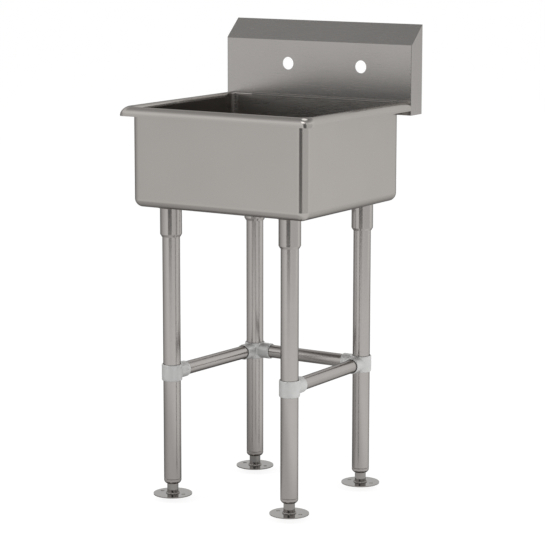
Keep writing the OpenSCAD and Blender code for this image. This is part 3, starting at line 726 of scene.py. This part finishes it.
world = bpy.data.worlds.new("studio")
bpy.context.scene.world = world
world.use_nodes = True
tree = world.node_tree
tree.nodes.clear()
from_camera, seen = seen_directly(tree)
direction = add_node(tree, "ShaderNodeTexCoord").outputs["Generated"]
height = add_node(tree, "ShaderNodeSeparateXYZ", {0: direction}).outputs["Z"]
walls = add_node(tree, "ShaderNodeMapRange", {"Value": height}, WALLS,
                 interpolation_type="SMOOTHSTEP")
ceiling = add_node(tree, "ShaderNodeMapRange", {"Value": height}, CEILING)
above = add_node(tree, "ShaderNodeMath", {0: walls.outputs[0], 1: ceiling.outputs[0]},
                 operation="MULTIPLY")
high_up = add_node(tree, "ShaderNodeMapRange", {"Value": height}, ABOVE_EYE_LEVEL)
dim = add_node(tree, "ShaderNodeMath", {0: falls_off(tree, direction), 1: high_up.outputs[0]},
               operation="MAXIMUM")
skylight = add_node(tree, "ShaderNodeMapRange", {"Value": height}, SKYLIGHT,
                    interpolation_type="SMOOTHSTEP")
room = add_node(tree, "ShaderNodeMath",
                {0: above.outputs[0], 1: dim.outputs[0], 2: skylight.outputs[0]},
                operation="MULTIPLY_ADD")
backdrop = add_node(tree, "ShaderNodeMath", {0: room.outputs[0], 1: from_camera},
                    operation="MAXIMUM")
shown = add_node(tree, "ShaderNodeBackground", {"Strength": backdrop.outputs[0]},
                 {"Color": linear("#FFFFFF")})
sent = add_node(tree, "ShaderNodeBackground", None,
                {"Color": linear("#FFFFFF"), "Strength": LIGHT_SENT})
both = add_node(tree, "ShaderNodeMixShader", {0: seen, 1: sent.outputs[0], 2: shown.outputs[0]})
add_node(tree, "ShaderNodeOutputWorld", {"Surface": both.outputs[0]})
print("room:", world.name)

# %% [markdown]
# ## The floor's paint
# The floor glows almost white by itself and adds a little of the light that
# falls on it. That keeps the faint shadows under the feet. Mirrors see the
# same floor, dimmed towards the back of the room and in a wide soft shadow to
# the left of the sink, which turns the lower ends of the left legs darker. It
# is clear from below, so the underside of the sink can be looked at too.

# %% Floor paint
SHADOW_MIDDLE = (-0.45, -0.45, 0.0)
SHADOW = {"From Min": 0.6, "From Max": 1.3, "To Min": 0.64, "To Max": 1.0}
FLOOR_GLOW = 0.90

floor_paint, tree = new_material("white_studio_floor")
from_camera, seen = seen_directly(tree)
spot = add_node(tree, "ShaderNodeNewGeometry").outputs["Position"]
from_shadow = add_node(tree, "ShaderNodeVectorMath", {0: spot}, {1: SHADOW_MIDDLE},
                       operation="DISTANCE")
shadow = add_node(tree, "ShaderNodeMapRange", {"Value": from_shadow.outputs["Value"]}, SHADOW,
                  interpolation_type="SMOOTHSTEP")
dimmed = add_node(tree, "ShaderNodeMath", {0: falls_off(tree, spot), 1: shadow.outputs[0]},
                  operation="MULTIPLY")
floor_shade = add_node(tree, "ShaderNodeMath", {0: dimmed.outputs[0], 1: from_camera},
                       operation="MAXIMUM")
strength = add_node(tree, "ShaderNodeMath", {0: floor_shade.outputs[0]}, {1: FLOOR_GLOW},
                    operation="MULTIPLY")
glow = add_node(tree, "ShaderNodeEmission", {"Strength": strength.outputs[0]},
                {"Color": linear("#FFFFFF")})
matt = add_node(tree, "ShaderNodeBsdfDiffuse", None, {"Color": linear("#E8E8E6")})
shadowed = add_node(tree, "ShaderNodeBsdfDiffuse", None, {"Color": linear("#767676")})
lit = add_node(tree, "ShaderNodeAddShader", {0: glow.outputs[0], 1: shadowed.outputs[0]})
shown = add_node(tree, "ShaderNodeMixShader", {0: seen, 1: matt.outputs[0], 2: lit.outputs[0]})
clear = add_node(tree, "ShaderNodeBsdfTransparent")
from_below = add_node(tree, "ShaderNodeNewGeometry").outputs["Backfacing"]
one_sided = add_node(tree, "ShaderNodeMixShader",
                     {0: from_below, 1: shown.outputs[0], 2: clear.outputs[0]})
add_node(tree, "ShaderNodeOutputMaterial", {"Surface": one_sided.outputs[0]})
print("paint:", floor_paint.name)

# %% [markdown]
# ## The floor
# Each foot screws down by up to half an inch from where it stands. The floor
# lies just below the lowest place of the feet, so it never cuts into one.

# %% Floor
FOOT_TRAVEL = 0.0127
BELOW_FEET = 0.0005
FLOOR_HALF = 40

floor_z = -FOOT_TRAVEL - BELOW_FEET
floor_corners = [(x * FLOOR_HALF, y * FLOOR_HALF, floor_z)
                 for x, y in ((-1, -1), (1, -1), (1, 1), (-1, 1))]
floor_mesh = bpy.data.meshes.new("floor")
floor_mesh.from_pydata(floor_corners, [], [(0, 1, 2, 3)])
floor_mesh.materials.append(floor_paint)
floor = bpy.data.objects.new("floor", floor_mesh)
bpy.context.collection.objects.link(floor)
print("floor lies at", round(floor_z, 4))

# %% [markdown]
# ## Lamps
# Two large soft lamps stand left and right of the camera, high up. They light
# the sink, but the metal doesn't mirror them: it mirrors the room and a few
# cards, which come next.

# %% Lamps
SINK_MIDDLE = (0, 0, 0.6)
LAMP_SIDE = 1.6


def soft_lamp(name, place, watts):
    """A square lamp that is aimed at the sink and leaves no mirror image in it."""
    data = bpy.data.lights.new(name, "AREA")
    data.shape = "RECTANGLE"
    data.size = data.size_y = LAMP_SIDE
    data.energy = watts
    lamp = bpy.data.objects.new(name, data)
    lamp.location = place
    lamp.rotation_mode = "QUATERNION"
    lamp.rotation_quaternion = (Vector(SINK_MIDDLE) - Vector(place)).to_track_quat("-Z", "Y")
    lamp.visible_glossy = False
    bpy.context.collection.objects.link(lamp)


soft_lamp("lamp_left", (-2.6, -2.6, 2.6), watts=60)
soft_lamp("lamp_right", (3.4, -0.8, 2.8), watts=45)

# %% [markdown]
# ## Cards
# Photographers hold a dark card beside the camera so that a round metal leg
# gets a soft dark stripe down its middle, which makes it look round. The cards
# are seen only in the metal. The dark one hangs just off the floor, so it
# darkens the upper part of each leg and leaves the lower part bright. A wide
# grey one on the right tones down the band beside that stripe, and a low pale
# one at the right rear brightens a band near the right edge of each leg's lower
# part. The small bright one above the camera lights a spot on each rounded
# corner of the rim.

# %% Cards
def card(name, middle_deg, distance, width, low, high, strength):
    """A glowing card that stands round the sink, square to it, and is seen only in its metal."""
    a = math.radians(middle_deg)
    middle = Vector((math.cos(a), math.sin(a), 0)) * distance
    across = Vector((-math.sin(a), math.cos(a), 0)) * width / 2
    foot, top = Vector((0, 0, low)), Vector((0, 0, high))
    corners = [middle - across + foot, middle + across + foot,
               middle + across + top, middle - across + top]
    mesh = bpy.data.meshes.new(name)
    mesh.from_pydata([tuple(c) for c in corners], [], [(0, 1, 2, 3)])
    material, tree = new_material(name)
    glow = add_node(tree, "ShaderNodeEmission", None,
                    {"Color": linear("#FFFFFF"), "Strength": strength})
    add_node(tree, "ShaderNodeOutputMaterial", {"Surface": glow.outputs[0]})
    mesh.materials.append(material)
    made = bpy.data.objects.new(name, mesh)
    bpy.context.collection.objects.link(made)
    made.visible_camera = made.visible_diffuse = False
    made.visible_shadow = made.visible_transmission = False


card("card_dark", middle_deg=-71, distance=3.0, width=2.1, low=0.10, high=2.6, strength=0.20)
card("card_grey", middle_deg=-11, distance=3.0, width=4.8, low=0.0, high=2.2, strength=0.84)
card("card_pale", middle_deg=58, distance=3.0, width=2.6, low=0.0, high=0.62, strength=1.12)
card("card_bright", middle_deg=-88, distance=2.6, width=1.9, low=2.8, high=3.9, strength=3.4)

# %% [markdown]
# ## View transform
# The last step sets the view transform to Standard.

# %% View transform
bpy.context.scene.view_settings.view_transform = "Standard"
